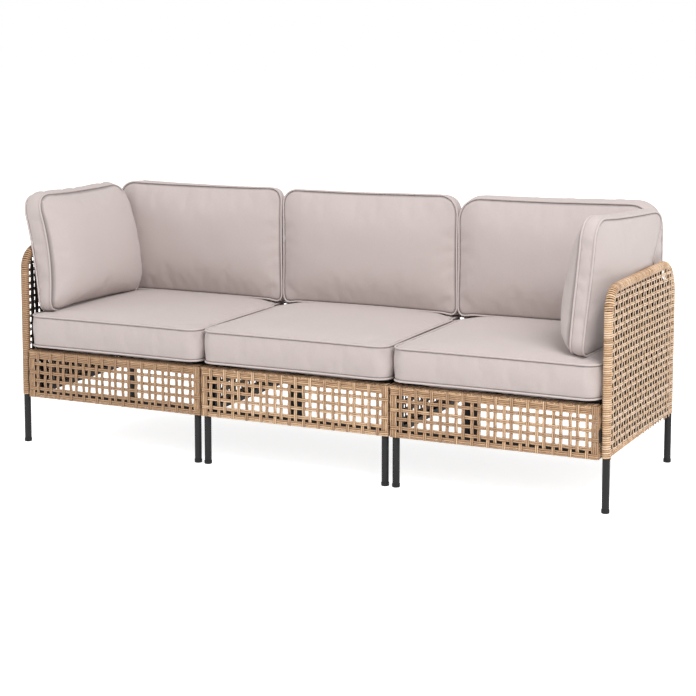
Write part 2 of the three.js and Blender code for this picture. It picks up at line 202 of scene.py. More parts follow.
def makeStudio():
    world = bpy.data.worlds.new("studioSky")
    bpy.context.scene.world = world
    nodes = emptyNodes(world)
    soft = nodes.add("ShaderNodeBackground", {"Color": studio["skyTint"], "Strength": studio["skyStrength"]})
    white = nodes.add("ShaderNodeBackground", {"Color": studio["white"], "Strength": 1})
    mixed = nodes.add("ShaderNodeMixShader", {0: seenDirectly(nodes), 1: soft, 2: white})
    nodes.add("ShaderNodeOutputWorld", {0: mixed})

    half = studio["floorSize"] / 2
    corners = [(-half, -half, 0), (half, -half, 0), (half, half, 0), (-half, half, 0)]
    mesh = newMesh("studioFloor", corners, [(0, 1, 2, 3)])
    floor = addObject("studioFloor", mesh)
    paper, nodes = newMaterial("studioPaper")
    matt = nodes.add("ShaderNodeBsdfDiffuse", {"Color": studio["floorTint"]})
    glow = nodes.add("ShaderNodeEmission", {"Color": studio["white"], "Strength": studio["floorGlow"]})
    lifted = nodes.add("ShaderNodeAddShader", {0: matt, 1: glow})
    shown = nodes.add("ShaderNodeMixShader", {0: seenDirectly(nodes), 1: matt, 2: lifted})
    nodes.add("ShaderNodeOutputMaterial", {0: shown})
    mesh.materials.append(paper)

    for label, look in studio["lamps"].items():
        lamp = bpy.data.lights.new(f"{label}Light", "AREA")
        lamp.energy = look["power"]
        lamp.size = look["size"]
        holder = addObject(f"{label}Light", lamp)
        holder.location = look["place"]
        holder.rotation_euler = (Vector(studio["aim"]) - holder.location).to_track_quat("-Z", "Y").to_euler()
    bpy.context.scene.view_settings.view_transform = "Standard"


makeCamera()
makeStudio()
print("camera, floor and lights set")

# Materials; their scales and heights are in metres

wickerLook = {
    "tones": [   # evenly spaced from dark to light strands
        (0.420, 0.245, 0.128, 1), (0.600, 0.370, 0.205, 1), (0.690, 0.445, 0.255, 1), (0.760, 0.520, 0.325, 1),
        (0.830, 0.590, 0.405, 1)],
    "fleckScale": 55,
    "fleckRange": 0.9,
    # painted shade: from edgeShadeStart on, the edges of each strand and the walls of the holes are darkened towards
    # the dark colour below, and innerShade darkens the inward side
    "edgeShadeStart": 0.74,
    "edgeShadeDepth": 0.95,
    "paintedShadeColour": (0.034, 0.017, 0.010, 1),
    "innerShade": 0.9,
    "roughness": 0.42,
    "specular": 0.6,
    "grainScale": 900,
    "grainHeight": 0.00025,
    "grainStrength": 0.6,
}

coatedLooks = {
    "steel": {"colour": (0.018, 0.0184, 0.0195, 1), "roughness": 0.55, "grainScale": 1400, "grainHeight": 0.00006},
    # near-black stakes behind the arm and back weaves: painted shade inside the weave
    "core": {"colour": (0.012, 0.007, 0.005, 1), "roughness": 0.8, "grainScale": 700, "grainHeight": 0.0001},
    "foot": {"colour": (0.016, 0.016, 0.017, 1), "roughness": 0.6, "grainScale": 900, "grainHeight": 0.00005},
}
coating = {"specular": 0.22, "cloudScale": 14, "darker": 0.86, "lighter": 1.18, "grainStrength": 0.5}

fabricLook = {
    "light": (0.640, 0.563, 0.545, 1),
    "dark": (0.470, 0.405, 0.390, 1),
    "period": 3.0,   # of the woven dots, in millimetres
    "turn": 45,
    "height": 0.0005,
    "strength": 0.7,
    "roughness": 0.85,
    "specular": 0.3,
    "sheen": 0.25,
    "mottle": 0.06,
    "mottleScale": 9,
    "slub": 0.25,
    "slubScale": 420,
    # seamShade, seamSpread and seamDark paint shade into the cover beside its seams
    "seamShade": 0.9,
    "seamSpread": 0.8,
    "seamDark": 0.34,
    "puckerScale": (42, 9, 1),
    "puckerHeight": 0.0022,
}


def tinted(colour, factor):
    return tuple(channel * factor for channel in colour[:3]) + (1,)


def finishMaterial(nodes, look, colour, normal):
    shader = nodes.add("ShaderNodeBsdfPrincipled", {
        "Base Color": colour, "Roughness": look["roughness"], "Specular IOR Level": look["specular"],
        "Sheen Weight": look.get("sheen", 0), "Normal": normal})
    nodes.add("ShaderNodeOutputMaterial", {0: shader})


def wickerMaterial():
    look = wickerLook
    material, nodes = newMaterial("wovenRattan")
    place = nodes.add("ShaderNodeTexCoord").outputs["Object"]
    fleck = nodes.noise(place, look["fleckScale"], 3, Roughness=0.6)
    spread = nodes.calc("MULTIPLY", nodes.calc("ADD", fleck, -0.5), look["fleckRange"])
    ramp = nodes.add("ShaderNodeValToRGB", {0: nodes.calc("ADD", nodes.attribute("tone"), spread, clamped=True)})
    stops = ramp.color_ramp.elements
    while len(stops) < len(look["tones"]):
        stops.new(0.5)
    for i, (stop, colour) in enumerate(zip(stops, look["tones"])):
        stop.position = i / (len(stops) - 1)
        stop.color = colour
    # painted shade on the strand edges and the walls of the holes, standing in for the shade in the gaps between
    # strands
    edge = nodes.ranged(nodes.attribute("rim"), look["edgeShadeStart"], 1.0, 0.0, look["edgeShadeDepth"])
    edgeShaded = nodes.blend(edge, ramp, look["paintedShadeColour"])
    # painted shade: the inward side of each strand is darkened towards the same dark colour, standing in for the shade
    # behind the weave
    reverse = nodes.calc("MULTIPLY", nodes.attribute("inner"), look["innerShade"], clamped=True)
    shaded = nodes.blend(reverse, edgeShaded, look["paintedShadeColour"])
    grain = nodes.noise(place, look["grainScale"])
    finishMaterial(nodes, look, shaded, nodes.bump(grain, look["grainHeight"], look["grainStrength"]))
    return material


def coatedMaterial(name, look):
    look = {**coating, **look}
    material, nodes = newMaterial(name)
    place = nodes.add("ShaderNodeTexCoord").outputs["Object"]
    grain = nodes.noise(place, look["grainScale"])
    cloud = nodes.noise(place, look["cloudScale"], 4)
    colour = nodes.blend(cloud, tinted(look["colour"], look["darker"]), tinted(look["colour"], look["lighter"]))
    finishMaterial(nodes, look, colour, nodes.bump(grain, look["grainHeight"], look["grainStrength"]))
    return material


def fabricMaterial(name, brightness=1.0):
    look = fabricLook
    material, nodes = newMaterial(name)
    calc = nodes.calc
    place = nodes.add("ShaderNodeTexCoord").outputs["Object"]
    chart = nodes.add("ShaderNodeUVMap", uv_map="cloth")
    turned = nodes.parts(nodes.add("ShaderNodeMapping", {
        "Vector": chart, "Rotation": (0, 0, radians(look["turn"])), "Scale": (1000 / look["period"],) * 3}))
    waves = [calc("SINE", calc("MULTIPLY", turned[axis], 2 * pi)) for axis in (0, 1)]
    level = calc("MULTIPLY_ADD", calc("MULTIPLY", *waves), 0.5, 0.5)
    cloud = nodes.noise(place, look["mottleScale"], 4)
    slub = nodes.noise(place, look["slubScale"])
    soft = calc("MULTIPLY_ADD", cloud, look["mottle"] * 4, -look["mottle"] * 2)
    rough = calc("MULTIPLY_ADD", slub, look["slub"] * 2, -look["slub"])
    mixed = calc("ADD", calc("ADD", level, soft), rough, clamped=True)
    dark, light = (tinted(look[tone], brightness) for tone in ("dark", "light"))
    # painted shade: the cover is darkened close to its seams, in the groove beside the piping
    near = calc("POWER", nodes.attribute("seamShadeMask"), look["seamSpread"])
    seam = calc("MULTIPLY", near, look["seamShade"], clamped=True)
    colour = nodes.blend(seam, nodes.blend(mixed, dark, light), tinted(dark, look["seamDark"]))
    cloth = nodes.bump(calc("ADD", level, rough), look["height"], look["strength"])
    # small puckers that run in from the seams
    stretched = nodes.add("ShaderNodeMapping", {"Vector": chart, "Scale": look["puckerScale"]})
    folds = calc("MULTIPLY", nodes.noise(stretched, 1.0), nodes.attribute("pull"))
    finishMaterial(nodes, look, colour, nodes.bump(folds, look["puckerHeight"], 1.0, Normal=cloth))
    return material


wicker = wickerMaterial()
steel = coatedMaterial("powderCoatedSteel", coatedLooks["steel"])
paintedShadeCore = coatedMaterial("paintedShadeWickerCore", coatedLooks["core"])
footPlastic = coatedMaterial("blackFootPlastic", coatedLooks["foot"])
fabric = fabricMaterial("greigeFabric")
# the piping is a 6 % lighter copy of the cover fabric: a painted highlight along the piping
litPipingFabric = fabricMaterial("greigePipingLit", 1.06)

# Shared making of pieces


def settle(piece, node, replaces=True):
    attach(piece, frame["nodes"][node]["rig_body"])
    if replaces:
        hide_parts(node)


def newTree(name, sockets):
    tree = bpy.data.node_groups.new(name, "GeometryNodeTree")
    for kind, labels in {"Geometry": ["Geometry"], **sockets, "Material": ["Material"]}.items():
        for label in labels:
            tree.interface.new_socket(label, in_out="INPUT", socket_type=f"NodeSocket{kind}")
    tree.interface.new_socket("Geometry", in_out="OUTPUT", socket_type="NodeSocketGeometry")
    nodes = Nodes(tree)
    return tree, nodes, nodes.add("NodeGroupInput").outputs


def runTree(piece, tree, values):
    modifier = piece.modifiers.new(tree.name, "NODES")
    modifier.node_group = tree
    for item in tree.interface.items_tree:
        if item.in_out == "INPUT" and item.name in values:
            modifier[item.identifier] = values[item.name]
    graph = bpy.context.evaluated_depsgraph_get()
    made = bpy.data.meshes.new_from_object(piece.evaluated_get(graph))
    made.name = piece.name
    piece.modifiers.remove(modifier)
    piece.data = made
    return piece


def strandSection(nodes, given):
    # a flat ring; its "rim" runs from 0 in the middle of the strand to 1 at its two edges
    calc = nodes.calc
    ring = nodes.add("GeometryNodeCurvePrimitiveCircle", {"Resolution": given["Sides"], "Radius": 0.5}, mode="RADIUS")
    x, y, _ = nodes.parts(nodes.add("GeometryNodeInputPosition"))
    marked = nodes.store(ring, "rim", calc("MULTIPLY", calc("ABSOLUTE", y), 2.31, clamped=True))
    depth = calc("ABSOLUTE", x)
    fuller = calc("MULTIPLY", calc("MULTIPLY", calc("POWER", depth, 0.5), x), 0.7071)
    spot = nodes.vector(calc("DIVIDE", fuller, calc("MAXIMUM", depth, 0.0001)), y)
    boxy = nodes.add("GeometryNodeSetPosition", {0: marked, "Position": spot})
    size = nodes.vector(given["Strand Thickness"], given["Strand Width"], 1.0)
    return nodes.add("GeometryNodeTransform", {0: boxy, "Scale": size})


def swept(nodes, path, section):
    solid = nodes.add("GeometryNodeCurveToMesh", {0: path, 1: section, "Fill Caps": True})
    return nodes.add("GeometryNodeSetShadeSmooth", {0: solid, "Shade Smooth": True})


def finishTree(nodes, given, shape):
    made = nodes.add("GeometryNodeRealizeInstances", {0: shape})
    painted = nodes.add("GeometryNodeSetMaterial", {0: made, "Material": given["Material"]})
    nodes.add("NodeGroupOutput", {0: painted})


def toneOf(nodes, given, number):
    return nodes.add("FunctionNodeRandomValue", {
        2: given["Tone Low"], 3: given["Tone High"], "ID": number, "Seed": given["Seed"]}, data_type="FLOAT").outputs[1]


# unevenness of the strands: noise scales per metre, how far a seed shifts the noise, and the share that goes outwards
handmade = {"weaveScale": 16, "seedStep": 3.7, "turnScale": 120, "turnStep": 2.3, "outward": 0.35}

# Weaving tree: every point of the layout becomes a strand, and strands that cross go over and under


def weavingTree():
    tree, nodes, given = newTree("overUnderWeave", {
        "Float": [
            "Width", "Height", "Step", "Strand Width", "Strand Thickness", "Lift", "Wobble", "Tone Low", "Tone High",
            "Corner Radius", "Far Corner Radius", "Wrap"],
        "Int": ["Sides", "Seed", "Blur"]})
    add, calc, vector = nodes.add, nodes.calc, nodes.vector

    def past(value, limit):
        return calc("MAXIMUM", calc("SUBTRACT", value, limit), 0.0)

    def square(value):
        return calc("MULTIPLY", value, value)

    line = nodes.named("line", "INT")
    layouts = add("GeometryNodeSeparateGeometry", {
        0: given["Geometry"], 1: nodes.named("isStake", "BOOLEAN")}, domain="POINT").outputs
    halfWidth = calc("MULTIPLY", given["Width"], 0.5)
    here = add("GeometryNodeInputPosition")
    x, _, z = nodes.parts(here)
    lowEnd = calc("MULTIPLY", halfWidth, -1)
    # for each kind of strand: its layout, a strand's start and end, the place along it, and its side of the other kind
    stakes = (layouts[0], vector(), vector(z=given["Height"]), vector(z=z), 1)
    bands = (layouts[1], vector(lowEnd), vector(halfWidth), vector(x), -1)
    joined = add("GeometryNodeJoinGeometry")
    for (own, start, end, along, turn), (crossing, *_) in ((stakes, bands), (bands, stakes)):
        strand = add("GeometryNodeCurvePrimitiveLine", {"Start": start, "End": end})
        fine = add("GeometryNodeResampleCurve", {"Curve": strand, "Length": given["Step"]}, mode="LENGTH")
        placed = add("GeometryNodeInstanceOnPoints", {"Points": own, "Instance": fine})
        real = add("GeometryNodeRealizeInstances", {0: placed})
        nearest = add("GeometryNodeSampleNearest", {0: crossing, 1: along}, domain="POINT")
        crossed = add("GeometryNodeSampleIndex", {0: crossing, 1: line, 2: nearest}, data_type="INT", domain="POINT")
        sign = calc("COSINE", calc("MULTIPLY", calc("ADD", line, crossed), pi))
        smooth = add("GeometryNodeBlurAttribute", {0: sign, 1: given["Blur"]}, data_type="FLOAT")
        rise = calc("MULTIPLY", calc("MULTIPLY", smooth, given["Lift"]), turn)
        tone = toneOf(nodes, given, add("GeometryNodeInputIndex"))
        woven = nodes.store(nodes.moved(real, vector(y=rise)), "tone", tone, domain="CURVE")
        tree.links.new(woven.outputs[0], joined.inputs[0])
    # hand-made unevenness
    drift = vector(calc("MULTIPLY", given["Seed"], handmade["seedStep"]), calc("MULTIPLY", nodes.named("tone"), 9.0))
    wave = nodes.noise(nodes.vectorCalc("ADD", here, drift), handmade["weaveScale"])
    centred = nodes.vectorCalc("SUBTRACT", wave.outputs[1], (0.5, 0.5, 0.5))
    uneven = nodes.moved(joined, nodes.scaled(centred, given["Wobble"]))
    # strands bend back round the upright edges
    wrap = given["Wrap"]
    edge = past(calc("ABSOLUTE", x), calc("SUBTRACT", halfWidth, wrap))
    bent = nodes.moved(uneven, vector(y=calc("SUBTRACT", wrap, calc("SQRT", past(square(wrap), square(edge))))))
    # cut to the round corners of the hoop
    nearCorner, farCorner = given["Corner Radius"], given["Far Corner Radius"]
    corner = calc("MULTIPLY_ADD", calc("GREATER_THAN", x, 0.0), calc("SUBTRACT", farCorner, nearCorner), nearCorner)
    overX = past(calc("ABSOLUTE", x), calc("SUBTRACT", halfWidth, corner))
    overZ = past(z, calc("SUBTRACT", given["Height"], corner))
    reach = calc("SQRT", calc("ADD", square(overX), square(overZ)))
    outside = calc("GREATER_THAN", reach, calc("ADD", corner, 0.0005))
    isCut = calc("MULTIPLY", outside, calc("GREATER_THAN", nearCorner, 0.001))
    trimmed = add("GeometryNodeDeleteGeometry", {0: bent, 1: isCut}, domain="POINT")
    facing = add("GeometryNodeSetCurveNormal", {0: trimmed, "Normal": (0, 1, 0)}, mode="FREE")
    solid = swept(nodes, facing, strandSection(nodes, given))
    # how far a point faces inwards; the wicker material paints shade on the inward side with it
    inner = nodes.ranged(nodes.parts(add("GeometryNodeInputNormal"))[1], -0.2, 0.6, 0.0, 1.0)
    finishTree(nodes, given, nodes.store(solid, "inner", inner))
    return tree


# Winding tree: one strand wound round a bent tube that runs in one plane


def windingTree():
    tree, nodes, given = newTree("tubeWinding", {
        "Float": ["Radius", "Pitch", "Strand Width", "Strand Thickness", "Tone Low", "Tone High", "Wobble"],
        "Int": ["Points Per Turn", "Sides", "Seed"],
        "Vector": ["Plane Normal"]})
    add, calc, vectorCalc, scaled = nodes.add, nodes.calc, nodes.vectorCalc, nodes.scaled
    path = add("GeometryNodeMeshToCurve", {0: given["Geometry"]})
    step = calc("DIVIDE", given["Pitch"], given["Points Per Turn"])
    fine = add("GeometryNodeResampleCurve", {"Curve": path, "Length": step}, mode="LENGTH")
    turns = calc("DIVIDE", add("GeometryNodeSplineParameter").outputs["Length"], given["Pitch"])
    tangent = add("GeometryNodeInputTangent")
    normal = vectorCalc("NORMALIZE", given["Plane Normal"])
    across = vectorCalc("NORMALIZE", vectorCalc("CROSS_PRODUCT", tangent, normal))
    angle = calc("MULTIPLY", turns, 2 * pi)
    outward = vectorCalc("ADD", scaled(normal, calc("COSINE", angle)), scaled(across, calc("SINE", angle)))
    drift = nodes.vector(calc("MULTIPLY", given["Seed"], handmade["turnStep"]))
    wave = nodes.noise(vectorCalc("ADD", add("GeometryNodeInputPosition"), drift), handmade["turnScale"])
    sway = calc("MULTIPLY", calc("SUBTRACT", wave, 0.5), given["Wobble"])
    reach = calc("ADD", given["Radius"], calc("MULTIPLY", sway, handmade["outward"]))
    shift = vectorCalc("ADD", scaled(outward, reach), scaled(tangent, sway))
    marked = nodes.store(fine, "tone", toneOf(nodes, given, calc("FLOOR", turns)))
    wound = nodes.moved(nodes.store(marked, "outward", outward, "FLOAT_VECTOR"), shift)
    outNow = nodes.named("outward", "FLOAT_VECTOR")
    facing = add("GeometryNodeSetCurveNormal", {0: wound, "Normal": outNow}, mode="FREE")
    finishTree(nodes, given, swept(nodes, facing, strandSection(nodes, given)))
    return tree


# Tube tree: a smooth round tube along a bent path


def tubeTree():
    tree, nodes, given = newTree("smoothTube", {"Float": ["Radius"], "Int": ["Sides"]})
    path = nodes.add("GeometryNodeMeshToCurve", {0: given["Geometry"]})
    ring = nodes.add("GeometryNodeCurvePrimitiveCircle", {
        "Resolution": given["Sides"], "Radius": given["Radius"]}, mode="RADIUS")
    finishTree(nodes, given, swept(nodes, path, ring))
    return tree


weaving = weavingTree()
winding = windingTree()
tubing = tubeTree()
print("weaving, winding and tube trees built")

# tone ranges per module and piece: the left module's rattan is painted darker and browner as painted shade, as the
# light falls from the right, and the right arm's winding and panel are painted lighter as painted highlight
shadedAndLitTones = {
    "left": (-0.6, 0.15), "middle": (-0.25, 0.75), "right": (-0.3, 0.7),
    "right_arm_winding": (0.0, 0.95), "right_arm_panel": (0.4, 1.2)}


def shadedAndLitToneRange(name):
    low, high = shadedAndLitTones.get(name, shadedAndLitTones[name.split("_")[0]])
    return {"Tone Low": low, "Tone High": high}


def weaveLayout(name, columns, bands, strandWidth):
    # columns and bands list (middle, strand count); z runs up from the foot of the panel
    points, stakes, lines = [], [], []
    for isStake, groups in ((True, columns), (False, bands)):
        for number, (middle, count) in enumerate(groups):
            for i in range(count):
                spot = (middle + (i - (count - 1) / 2) * strandWidth) * mm
                points.append((spot, 0, 0) if isStake else (0, 0, spot))
                stakes.append(isStake)
                lines.append(number)
    mesh = newMesh(name, points)
    mesh.attributes.new("isStake", "BOOLEAN", "POINT").data.foreach_set("value", stakes)
    mesh.attributes.new("line", "INT", "POINT").data.foreach_set("value", lines)
    return mesh


def wovenPanel(name, width, height, columns, bands, place, look, settings):
    piece = addObject(name, weaveLayout(name, columns, bands, look["strand"]))
    runTree(piece, weaving, {
        "Width": width * mm, "Height": height * mm, "Step": look["step"] * mm, "Lift": look.get("lift", 0) * mm,
        "Strand Width": look["strand"] * look.get("fullness", 1) * mm, "Strand Thickness": look["thickness"] * mm,
        "Wobble": look["wobble"] * mm, "Sides": 6, "Material": wicker, **shadedAndLitToneRange(name), **settings})
    piece.data.transform(place)
    return piece


def pathMesh(name, points):
    return newMesh(name, points, edges=[(i, i + 1) for i in range(len(points) - 1)])


def straightPath(a, b, step=20):
    a, b = Vector(a), Vector(b)
    count = max(2, int((b - a).length / step))
    return [a.lerp(b, i / count) * mm for i in range(count + 1)]


def makeTube(name, node, path, radius, tubeSides=20, replaces=True):
    piece = addObject(name, pathMesh(name, path))
    runTree(piece, tubing, {"Radius": radius * mm, "Sides": tubeSides, "Material": steel})
    settle(piece, node, replaces)


windingWobble = 1.1


def makeWinding(name, node, path, radius, look, normal, seed, turnPoints=12, strandSides=6):
    piece = addObject(name, pathMesh(name, path))
    runTree(piece, winding, {
        "Radius": radius * mm, "Pitch": look["pitch"] * mm, "Strand Width": look["width"] * mm,
        "Strand Thickness": look["thickness"] * mm, "Points Per Turn": turnPoints, "Sides": strandSides,
        "Plane Normal": normal, "Wobble": windingWobble * mm, "Seed": seed, "Material": wicker, **shadedAndLitToneRange(name)})
    settle(piece, node, replaces=False)


def alternate(number):
    return 1 if number % 2 else -1


# Aprons of the seat boxes

apronWeave = {
    "strand": 5.5,
    "fullness": 1.02,
    "thickness": 2.2,
    "lift": 1.0,
    "wobble": 1.0,
    "step": 3.6,
    "hiddenStep": 6.5,
    "wrap": 3,
    "endGap": 0.6,
    "columns": 24,
    "endStrands": 4,
    "columnStrands": 2,
    "unevenGap": 1.6,
    "topStrands": 4,
    "bands": [(10.8, 2), (17.6, 2), (15.6, 2), (16.4, 2)],   # gap above the band, and its strands
    "bottomStrands": 3,
}
apronLip = {"core": 1.6, "pitch": 4.4, "width": 4.5, "thickness": 2.0, "drop": 4.2, "endGap": 1}
apronCap = {
    "depth": 27, "strand": 4.7, "thickness": 1.6, "step": 11, "wobble": 0.6, "endRoom": 8, "inset": 1.5, "rise": 1.3}


def apronBands(height):
    strand = apronWeave["strand"]
    groups = [(0, apronWeave["topStrands"])] + apronWeave["bands"]
    rows = []
    top = height - apronLip["drop"]
    for gap, count in groups:
        size = count * strand
        top -= gap + size
        rows.append((top + size / 2, count))
    count = apronWeave["bottomStrands"]
    rows.append((count * strand / 2, count))
    return rows


def apronColumns(width):
    inner, ends = apronWeave["columns"], apronWeave["endStrands"]
    edge = width / 2 - ends * apronWeave["strand"] / 2
    places = [(-edge, ends)]
    for i in range(inner):
        shift = apronWeave["unevenGap"] * alternate(i)
        places.append((-edge + 2 * edge * (i + 1) / (inner + 1) + shift, apronWeave["columnStrands"]))
    places.append((edge, ends))
    return places


def makeApron(module, side, seed):
    node = f"{module}_apron_{side}"
    low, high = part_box(node)
    along = 0 if side in ("front", "back") else 1
    width = (high[along] - low[along]) / mm
    height = (high.z - low.z) / mm
    middle = (low + high) / 2
    turn = {"front": 0, "back": pi, "left": -pi / 2, "right": pi / 2}[side]
    place = Matrix.Translation((middle.x, middle.y, low.z)) @ Matrix.Rotation(turn, 4, "Z")
    front = side == "front"
    look = dict(apronWeave)
    if not front:
        look["step"] = look["hiddenStep"]
    wide = width - look["endGap"]
    piece = wovenPanel(node + "_weave", wide, height, apronColumns(wide), apronBands(height), place, look, {
        "Sides": 6 if front else 4, "Seed": seed, "Blur": 2 if front else 1, "Wrap": look["wrap"] * mm})
    settle(piece, node)
    # roped lip along the top edge, and the flat strands that run from it over the frame
    radius = apronLip["core"] + apronLip["thickness"] / 2
    reach = radius + apronLip["thickness"] / 2
    inward, run = (place.to_3x3() @ Vector(axis) for axis in ((0, 1, 0), (1, 0, 0)))
    line = middle / mm + inward * (reach - (high - low)[1 - along] / mm / 2)
    line.z = high.z / mm - reach
    half = run * (width / 2 - apronLip["endGap"])
    path = straightPath(line - half, line + half)
    makeWinding(node + "_lip", node, path, radius, apronLip, (0, 0, 1), seed + 200, 8, 5)
    if front:
        cap = apronCap
        count = int((width - cap["endRoom"]) / cap["strand"])
        strands = [((i - (count - 1) / 2) * cap["strand"], 1) for i in range(count)]
        edge = Matrix.Translation((middle.x, low.y + cap["inset"] * mm, high.z + cap["rise"] * mm))
        lie = edge @ Matrix.Rotation(-pi / 2, 4, "X")
        cover = wovenPanel(node + "_cap", width, cap["depth"], strands, [], lie, cap, {"Seed": seed + 300, "Blur": 0})
        settle(cover, node, replaces=False)


seed = 10
for module in modules:
    for side in ("front", "back", "left", "right"):
        seed += 1
        makeApron(module, side, seed)
    print(f"{module} aprons woven")

# Arm and back hoops: steel tube, winding and woven panel

plan = {"front": -316.5, "rear": 327.5, "arm": 996, "inner": 343, "outer": 966, "middle": 314}
capTop, tieTop = 12.3, 155.3   # where the tubes of the hoops end

hoop = {
    "tubeRadius": 11,
    "bendRadius": 100,
    "frontBend": 64,
    "bendSteps": 14,
    "railHeight": 642,
    "foot": 155.6,
    "inset": 7,
}
hoopWinding = {"pitch": 6.4, "width": 6.6, "thickness": 2.8, "sunk": 0.1, "start": 3}
hoopColumns = {"pitch": 25.0, "strands": 2, "uneven": 1.2, "ends": 19}
hoopRows = {"pitch": 22.5, "strands": 2, "uneven": 0.6, "ends": 12, "first": 16}
hoopPanel = {"strand": 5.2, "fullness": 1.02, "thickness": 1.5, "lift": 0.8, "step": 5.0, "wobble": 1.4}
coreStake = {"strand": 13.0, "thickness": 5.0, "step": 40, "wobble": 0.4, "inward": 4.0, "shorter": 2}
footRail = {
    "radius": 5.5, "pitch": 5.2, "width": 5.2, "thickness": 2.4, "lift": 0.4, "ends": 13, "sunk": 1.3, "barRadius": 3.3}
rearCover = {"start": 0.3, "outward": 12.2, "growth": 1.3, "lastRun": 20.5, "radius": 14.3, "sunk": 1.4}


def hoopPath(start, end, firstBend):
    # start and end are the feet of the posts
    a, b = Vector(start[:2]), Vector(end[:2])
    run = b - a
    length = run.length
    run.normalize()
    rail, lastBend, steps = hoop["railHeight"], hoop["bendRadius"], hoop["bendSteps"]
    turns = [pi / 2 * i / steps for i in range(steps + 1)]
    flat = [(0, start[2])]
    flat += [(firstBend - firstBend * cos(turn), rail - firstBend + firstBend * sin(turn)) for turn in turns]
    flat += [(length - lastBend + lastBend * sin(turn), rail - lastBend + lastBend * cos(turn))
             for turn in turns]
    flat.append((length, end[2]))
    return [Vector((a.x + run.x * s, a.y + run.y * s, z)) * mm for s, z in flat]


def coverRearPost(piece, side):
    # towards the rear the weave of an arm runs out to the outer face of its hoop and round the rear post
    cover = rearCover
    first, radius = plan["rear"] - cover["lastRun"] - hoop["inset"], cover["radius"]
    straight, quarter = plan["rear"] - first, radius * pi / 2
    for vertex in piece.data.vertices:
        y = vertex.co.y / mm
        share = (y - plan["front"]) / (plan["rear"] - plan["front"])
        out = cover["outward"] * max((share - cover["start"]) / (1 - cover["start"]), 0) ** cover["growth"]
        if y > first:
            run = (y - first) / cover["lastRun"] * (straight + quarter)
            flat = side * vertex.co.x / mm - plan["arm"]
            if run < straight:
                y = first + run
                out += (radius - cover["sunk"] - out) * run / straight
            else:
                turn = (run - straight) / radius
                y = plan["rear"] + (radius + flat) * sin(turn)
                out = (radius + flat) * cos(turn) - flat - cover["sunk"]
        vertex.co.x += side * out * mm
        vertex.co.y = y * mm


def makeHoop(label, start, end, seed, outward=True, firstBend=hoop["bendRadius"]):
    node = label + "_weave"
    makeTube(label + "_tube", label + "_frame", hoopPath(start, end, firstBend), hoop["tubeRadius"])
    across = Vector((end[0] - start[0], end[1] - start[1], 0))
    span, run = across.length, across.normalized()
    normal = run.cross(Vector((0, 0, 1)))
    foot, inset = hoop["foot"], hoop["inset"]
    lowest = foot + hoopWinding["start"]
    path = hoopPath((*start[:2], lowest), (*end[:2], lowest), firstBend)
    radius = hoop["tubeRadius"] + hoopWinding["thickness"] / 2 - hoopWinding["sunk"]
    makeWinding(label + "_winding", node, path, radius, hoopWinding, normal, seed)
    width = span - 2 * inset
    height = hoop["railHeight"] - foot - inset
    room = span - hoopColumns["ends"]
    count = round(room / hoopColumns["pitch"])
    columns = [(i * room / count - room / 2 + hoopColumns["uneven"] * alternate(i), hoopColumns["strands"])
               for i in range(1, count)]
    rows = round((height - hoopRows["ends"]) / hoopRows["pitch"])
    pitch = (height - hoopRows["ends"]) / rows
    bands = [(i * pitch + hoopRows["first"] + hoopRows["uneven"] * alternate(i), hoopRows["strands"])
             for i in range(rows)]
    angle = atan2(run.y, run.x)
    bends = [(bend - inset) * mm for bend in (hoop["bendRadius"], firstBend)]
    if outward:
        angle += pi
    else:
        bends.reverse()
    corners = {"Corner Radius": bends[0], "Far Corner Radius": bends[1]}
    middle = (Vector(start) + Vector(end)) / 2
    place = Matrix.Translation((middle.x * mm, middle.y * mm, foot * mm)) @ Matrix.Rotation(angle, 4, "Z")
    panel = wovenPanel(
        label + "_panel", width, height, columns, bands, place, hoopPanel, {"Seed": seed + 1, "Blur": 1, **corners})
    if "_arm" in label:
        coverRearPost(panel, sides[label.split("_")[0]])
    settle(panel, node)
    # near-black core stakes behind the upright strands: painted shade, a dark thing put where the inside of the weave
    # is in shade, so the holes read dark
    behind = place @ Matrix.Translation((0, coreStake["inward"] * mm, 0))
    stakes = wovenPanel(
        label + "_stakes", width, height - coreStake["shorter"], [(at, 1) for at, _ in columns], [], behind, coreStake,
        {"Seed": seed + 3, "Blur": 0, "Material": paintedShadeCore, **corners})
    settle(stakes, node, replaces=False)
    rail = footRail
    railZ = foot + rail["radius"] + rail["lift"]
    low = Vector((start[0], start[1], railZ)) + run * rail["ends"]
    high = Vector((end[0], end[1], railZ)) - run * rail["ends"]
    path = straightPath(low, high)
    makeWinding(label + "_foot_winding", node, path, rail["radius"] - rail["sunk"], rail, normal, seed + 2, 10, 5)
    makeTube(label + "_foot_bar", node, path, rail["barRadius"], 10, replaces=False)


for label, side in sides.items():
    arm, rear = side * plan["arm"], plan["rear"]
    makeHoop(
        f"{label}_arm", (arm, plan["front"], capTop), (arm, rear, capTop), 40 + side, side < 0, hoop["frontBend"])
    posts = sorted([(side * plan["inner"], rear, capTop), (side * plan["outer"], rear, tieTop)])
    makeHoop(f"{label}_back", *posts, 50 + side)
makeHoop("middle_back", (-plan["middle"], plan["rear"], capTop), (plan["middle"], plan["rear"], capTop), 60)
print("hoops wound and woven")

# Front legs and foot caps

footCap = {
    "radius": 12.2, "height": 12, "rounding": 2.4, "roundingSteps": 4, "segments": 28, "soleInset": 0.6,
    "topEdge": [(0, 1.6), (0.2, 0.8), (0.7, 0.2), (1.4, 0)],   # in from the side, down from the top
}


